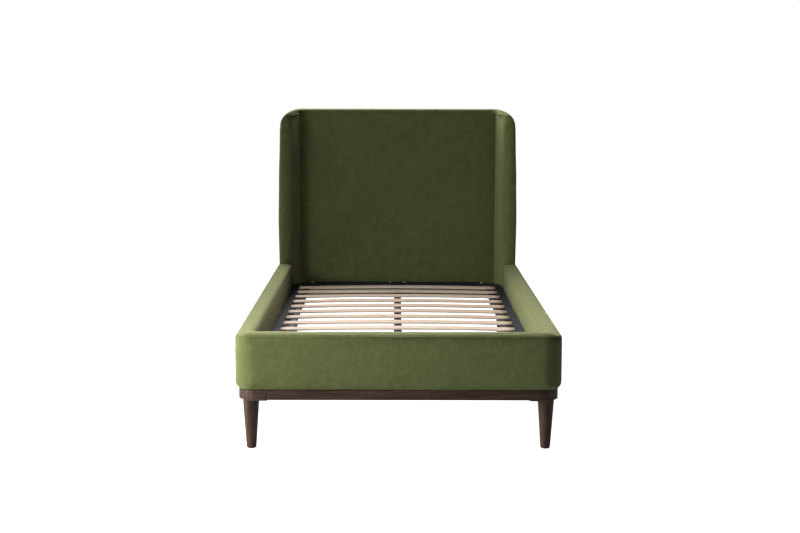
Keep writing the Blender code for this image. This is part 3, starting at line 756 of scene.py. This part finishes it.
def rise_at(z, x):
    """0 down the headboard's sides and 1 on its top."""
    if z < CORNER_Z:
        return 0.0
    return smoothstep(*CORNER_RISE, math.atan2(z - CORNER_Z, max(0.0, abs(x) - CORNER_X)) / (math.pi / 2))


def seam_inset(rise):
    """How far inside the headboard's edge the seam under its boxing strip runs."""
    return (STRIP_TOP - 0.0012) * rise


def wing_face(side):
    """The right-hand wing's inner face and nose from above, from the back to the outer edge at X = side."""
    inner, front = WING_LOW.x + 0.0002, WING_LOW.y
    path = [Vector((inner, WING_HIGH.y - GAP)), Vector((inner, PANEL_LOW.y + 0.003))]
    bend = [Vector(WING_BEND[0]), Vector(WING_BEND[1]), Vector((WING_NOSE_START_X, front)),
            Vector((WING_NOSE_X, front))]
    for k in range(1, 10):
        path.append(path[1].lerp(bend[0], k / 10))
    for k in range(27):
        t = k / 26
        path.append(bend[0] * (1 - t) ** 3 + bend[1] * 3 * t * (1 - t) ** 2 + bend[2] * 3 * t * t * (1 - t)
                    + bend[3] * t ** 3)
    round_x, round_y = min(WING_NOSE_OUTSIDE, side - WING_NOSE_X), WING_NOSE_OUTSIDE
    for k in range(1, 11):
        a = math.pi / 2 * k / 10
        path.append(Vector((side - round_x * (1 - math.sin(a)), front + round_y * (1 - math.cos(a)))))
    return path + [Vector((side, STRIP_SIDE_FRONT - 2 * GAP))]


def seam_line():
    """(Z, X, rise) along the seam under the boxing strip, round the right-hand top corner."""
    line = []
    for k in range(46):
        a = math.pi / 2 * k / 45
        place = Vector((CORNER_X + CORNER_RADIUS * math.cos(a), CORNER_Z + CORNER_RADIUS * math.sin(a)))
        rise = rise_at(place.y, place.x)
        inner = place - Vector((math.cos(a), math.sin(a))) * seam_inset(rise)
        line.append((inner.y, inner.x, rise))
    return line


def seam_at(z):
    """Where that seam lies across the headboard at a height, and its rise there."""
    for (z0, x0, rise0), (z1, x1, rise1) in zip(SEAM_LINE, SEAM_LINE[1:]):
        if z <= z1:
            f = (z - z0) / (z1 - z0)
            return x0 + (x1 - x0) * f, rise0 + (rise1 - rise0) * f
    return SEAM_LINE[-1][1:]


def cut_at(path, x):
    """The path up to where it first reaches X = x, and that point."""
    kept = [path[0]]
    for p, q in zip(path, path[1:]):
        if q.x >= x > p.x:
            return kept + [p.lerp(q, (x - p.x) / (q.x - p.x))]
        kept.append(q)
    return kept


def wing_cut(z):
    """The right-hand wing's outline seen from above at a height."""
    seam, rise = seam_at(z) if z > CORNER_Z else (1.0, 0.0)
    points = even_points(cut_at(wing_face(follow(SIDE_LINE, z)), seam), 58)
    end, inner, back = points[-1], WING_LOW.x + 0.0002, WING_HIGH.y - GAP
    tucked = max(inner + 2 * GAP, min(half_width(z, strip_thickness(rise) + GAP), end.x - 0.002))
    hidden = [Vector((tucked, min(end.y + 0.0006, back - 0.003)))]
    hidden += [Vector((tucked, hidden[0].y + (back - hidden[0].y) * k / 12)) for k in range(1, 13)]
    hidden += [Vector((tucked + (inner - tucked) * k / 4, back)) for k in range(1, 4)]
    return points + hidden


SEAM_LINE = seam_line()


def build_wing(side):
    name = SIDE_NAMES[side]
    heights = spaced(WING_LOW.z + 0.0005, RAIL_TOP - GAP, WING_LOW_MESH) + [RAIL_TOP + 2 * GAP]
    heights += spaced(RAIL_TOP + 0.004, CORNER_Z, WING_HIGH_MESH)
    for z, x, _ in SEAM_LINE:
        if z > heights[-1] + 0.0005 and x > WING_LOW.x + 0.0020:
            heights.append(z)
    rings = []
    for z in heights:
        front = WING_RAIL_FRONT if z < RAIL_TOP else 0.0
        rings.append([Vector((side * x, max(y, front), z)) for x, y in wing_cut(z)])
    piece = lofted(name + "_wing_padding", rings)

    def held(p):
        """Held inside the headboard, along the boxing strip's seam, over the side rail and at the top."""
        hidden = p.y > WING_HIDDEN_Y or abs(p.x) < WING_LOW.x + 0.003
        sewn = p.y > STRIP_SIDE_FRONT - 0.003 and abs(p.x) > half_width(p.z, 0.020)
        return hidden or sewn or p.z < RAIL_TOP + 0.006 or p.z > heights[-3]

    puffed(piece, held, *PADDING["wing"])
    finished(refine(piece), VELVET, replaces=[name + "_wing_pad"])


def arch_path():
    """The headboard's outline, up the left side, over the top and down the right: point, outward direction,
    rise."""
    half = []
    for z in spaced(BORDER_LOW.z, CORNER_Z, BORDER_SIDE_MESH)[:-1]:
        slope = (half_width(z + 0.001) - half_width(z - 0.001)) / 0.002
        half.append((Vector((half_width(z), 0, z)), Vector((1, 0, -slope)).normalized(), 0.0))
    for a in spaced(0.0, 54.0, 4.5)[:-1] + spaced(54.0, 90.0, 1.5):
        out = Vector((math.cos(math.radians(a)), 0, math.sin(math.radians(a))))
        place = Vector((CORNER_X, 0, CORNER_Z)) + out * CORNER_RADIUS
        half.append((place, out, rise_at(place.z, place.x)))
    for x in spaced(CORNER_X, 0.0, BORDER_TOP_MESH)[1:]:
        half.append((Vector((x, 0, BORDER_HIGH.z)), Vector((0, 0, 1)), 1.0))
    left = [(Vector((-p.x, 0, p.z)), Vector((-n.x, 0, n.z)), rise) for p, n, rise in half]
    return left + half[-2::-1]


def build_boxing():
    """The boxing strip round the headboard's edge, which laps over the wings and the panel to its seam."""
    rings = []
    back = BORDER_HIGH.y - GAP
    face = wing_face(CORNER_X + CORNER_RADIUS)
    for place, out, rise in arch_path():
        thick = strip_thickness(rise)
        seam_x = abs(place.x) - abs(out.x) * seam_inset(rise)
        front, slant = STRIP_PANEL_FRONT, 1.0
        if place.z <= CORNER_Z:
            front = STRIP_SIDE_FRONT
        elif seam_x > WING_LOW.x + 0.0005:
            end = cut_at(face, seam_x)
            front = min(STRIP_PANEL_FRONT, end[-1].y + 0.0010)
            run = end[-1] - end[-2]
            # The strip's rounded front edge is drawn out where the wing's face runs back.
            slant = 1.0 + 1.4 * smoothstep(0.6, 3.0, abs(run.y) / max(abs(run.x), 1e-6)) * rise
        edge = 0.0018 + 0.0080 * rise
        slant = min(slant, 0.5 * (back - front) / edge)
        cut = outline([(0.0, back, 0.003), (thick, back, 0.0008), (thick, front, 0.0006),
                       (0.0, front, edge)], [1, 12, 1, 18], 6)
        ring = []
        for inset, y in cut:
            if inset < 0.002:
                f = min(1.0, max(0.0, (y - front - edge) / (back - front - edge)))
                inset -= STRIP_CROWN * math.sin(math.pi * f) * (1 - 0.45 * rise)
            if y < front + edge:
                y = front + (y - front) * slant
            elif slant > 1:
                y = back - (back - y) * (back - front - edge * slant) / (back - front - edge)
            spot = place - out * inset
            ring.append(Vector((spot.x, y, spot.z)))
        rings.append(ring)
    piece = lofted("headboard_boxing", rings)
    finished(refine(piece), VELVET, replaces=["headboard_border"])


def build_back_cover():
    low, high = BACK_LOW, BACK_HIGH
    heights = spaced(low.z, CORNER_Z, BACK_MESH)
    for k in range(1, 17):
        heights.append(CORNER_Z + CORNER_RADIUS * math.sin(math.pi / 2 * k / 16) * 0.9993)
    rings = []
    for z in heights:
        wide = half_width(z, 0.0006)
        cut = outline([(-wide, low.y + 0.0003, 0.002), (wide, low.y + 0.0003, 0.002),
                       (wide, high.y, 0.006), (-wide, high.y, 0.006)], [30, 1, 66, 1], 4)
        inward = 0.004 * smoothstep(high.z - 0.006, high.z, z)
        rings.append([Vector((x, y - inward if y > high.y - 0.004 else y, z)) for x, y in cut])
    piece = lofted("headboard_back_lining", rings)

    def held(p):
        """Stapled all round its face."""
        return p.y < high.y - 0.003 or p.z < low.z + 0.02 or p.z > high.z - 0.010

    puffed(piece, held, *PADDING["back"])
    finished(refine(piece), VELVET, replaces=["headboard_back_cover"])


# ---------------------------------------------------------------- slats and their holders


def build_slat(number):
    """A bowed slat of laminated beech."""
    node = "slat_%02d" % number
    low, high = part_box(node)
    crown = high.z - low.z - SLAT_THICK
    cut = outline([(low.y, 0.0, SLAT_ROUND * 0.8), (high.y, 0.0, SLAT_ROUND * 0.8),
                   (high.y, SLAT_THICK, SLAT_ROUND), (low.y, SLAT_THICK, SLAT_ROUND)], [5, 2, 5, 2])
    rings, layers = [], []
    for x in spaced(low.x, high.x, SLAT_MESH):
        lift = crown * (1 - (2 * x / (high.x - low.x)) ** 2)
        rings.append([Vector((x, y, low.z + lift + z)) for y, z in cut])
        layers += [z / SLAT_THICK for y, z in cut]
    piece = lofted("beech_" + node, rings)
    values = piece.data.attributes.new("layer", "FLOAT", "POINT")
    for i, value in enumerate(layers + [0.5, 0.5]):  # the last two are the middles of the ends
        values.data[i].value = value
    finished(piece, BEECH, replaces=[node])


def joined_blocks(name, blocks, ease):
    """One moulding made of rounded blocks, each (low corner, high corner)."""
    work = bmesh.new()
    for low, high in blocks:
        made = bmesh.ops.create_cube(work, size=1.0)["verts"]
        for vertex in made:
            vertex.co = Vector((l if c < 0 else h for c, l, h in zip(vertex.co, low, high)))
        edges = list({edge for vertex in made for edge in vertex.link_edges})
        bmesh.ops.bevel(work, geom=edges, offset=ease, segments=2, affect="EDGES", profile=0.5)
    return linked(name, work, False)


def build_holder(number, side):
    """The moulded holder under a slat's end, which reaches across to the holders beside it."""
    low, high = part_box("slat_%02d" % number)
    middle, half = (low.y + high.y) / 2, (high.y - low.y) / 2
    reach = SLAT_PITCH / 2 - HOLDER_GAP
    outer = FRAME_HIGH.x - BAR_WIDTH - HOLDER_GAP
    inner, step = outer - HOLDER_LENGTH, outer - HOLDER_LENGTH / 2
    floor, top = FRAME_LOW.z + HOLDER_FLOOR, FRAME_HIGH.z
    base = floor + 0.0030
    spans = [(inner, outer, -reach, reach, floor, floor + 0.0045)]
    for turn in (-1, 1):
        wall = sorted((turn * (half + 0.0006), turn * (half + 0.0026)))
        edge = sorted((turn * (half + 0.0020), turn * reach))
        spans.append((inner, outer - 0.0010, *wall, base, top - 0.0052))
        spans.append((inner + 0.0004, step, *edge, base, top - 0.0036))
        for k in range(3):
            x = step + 0.0052 + 0.0080 * k
            spans.append((x, x + 0.0030, *edge, base, top - 0.0050))
    blocks = []
    for x0, x1, y0, y1, z0, z1 in spans:
        xs = sorted((side * x0, side * x1))
        blocks.append((Vector((xs[0], middle + y0, z0)), Vector((xs[1], middle + y1, z1))))
    piece = joined_blocks("slat_holder_%s_%02d" % (SIDE_NAMES[side], number), blocks, 0.0006)
    finished(piece, PLASTIC)


def build_bolt(name, x, y, z, turn):
    """A low domed bolt head with a hexagon socket, standing on a level face."""
    rings = []
    for radius, height in BOLT_OUTSIDE:
        rings.append([Vector((x + radius * math.cos(a), y + radius * math.sin(a), z + height))
                      for a in (math.tau * k / AROUND for k in range(AROUND))])
    for across, height in BOLT_SOCKET:
        ring = []
        for k in range(AROUND):
            a = math.tau * k / AROUND
            corner = (a % (math.tau / 6)) - math.tau / 12
            radius = across / math.cos(corner)
            ring.append(Vector((x + radius * math.cos(a + turn), y + radius * math.sin(a + turn), z + height)))
        rings.append(ring)
    finished(lofted(name, rings), ZINC)


def build_lining(side):
    """Black lining cloth stapled inside a side rail, below the level of the slat frame."""
    name = SIDE_NAMES[side]
    low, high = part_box(name + "_rail_cover")
    face, top = min(abs(low.x), abs(high.x)), FRAME_HIGH.z - 0.0045
    rings = []
    for y in spaced(low.y + 0.004, high.y - 0.004, LINING_MESH):
        wave = 0.0003 * math.sin(23.0 * y)
        rings.append([Vector((side * (face - out), y, z + wave)) for out, z in
                      ((-0.0006, low.z + 0.006), (-0.0006, top), (0.0012, top - 0.0004), (0.0016, top - 0.003),
                       (0.0010, top - 0.030), (0.0012, low.z + 0.006))])
    finished(lofted("rail_lining_" + name, rings), LINING)


def build_thread():
    """The levelling foot's screw, with its thread, which fades out at both ends."""
    low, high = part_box("levelling_stem")
    middle, length = (low + high) / 2, high.z - low.z
    rings, count = [], int(length / THREAD_PITCH * 6)
    for i in range(count + 1):
        z = low.z + length * i / count
        fade = min(1.0, (z - low.z) / 0.002, (high.z - z) / 0.002)
        ring = []
        for k in range(AROUND):
            a = math.tau * k / AROUND
            phase = ((z - low.z) / THREAD_PITCH - k / AROUND) % 1.0
            depth = THREAD_DEPTH * (1 - abs(2 * phase - 1)) + 0.0008 * (1 - fade)
            radius = (high.x - low.x) / 2 - depth
            ring.append(Vector((middle.x + radius * math.cos(a), middle.y + radius * math.sin(a), z)))
        rings.append(ring)
    finished(lofted("levelling_screw", rings), ZINC, body="foot_stem", replaces=["levelling_stem"])


# ---------------------------------------------------------------- the whole bed


def dress_frame():
    """Gives every carried-over node its material, with the grain along its length."""
    plain = {"plywood": PLYWOOD, "beech": BEECH, "frame_paint": PAINT, "zinc": ZINC,
             "black_plastic": PLASTIC, "velvet": VELVET}
    for name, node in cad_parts.items():
        low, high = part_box(name)
        size = high - low
        axis = "XYZ"[max(range(3), key=lambda k: size[k])]
        if name.endswith("_block"):
            axis = "X"  # a corner block is nearly as wide as it is long
        for place in node.material_slots:
            kind = place.material.name.split(".")[0]
            place.material = {"walnut": WALNUT, "softwood": SOFTWOOD}.get(kind, {}).get(axis) or plain[kind]
        if "bolt" in name or name in ("levelling_pad", "lock_nut", "centre_leg") or name.endswith("_leg"):
            continue
        edge = node.modifiers.new("eased_edges", "BEVEL")
        edge.width, edge.segments, edge.limit_method, edge.angle_limit = 0.0008, 2, "ANGLE", math.radians(40)


build_foot_rail()
for side in (-1, 1):
    build_side_rail(side)
    build_wing(side)
build_panel()
build_boxing()
build_back_cover()
for number in range(1, SLAT_COUNT + 1):
    build_slat(number)
    build_holder(number, -1)
    build_holder(number, 1)
build_lining(-1)
build_lining(1)
for name, x, forward, turn in FRAME_BOLTS:
    build_bolt("frame_bolt_" + name, x, BOLT_LINE - forward, FRAME_HIGH.z, turn)
build_thread()
dress_frame()
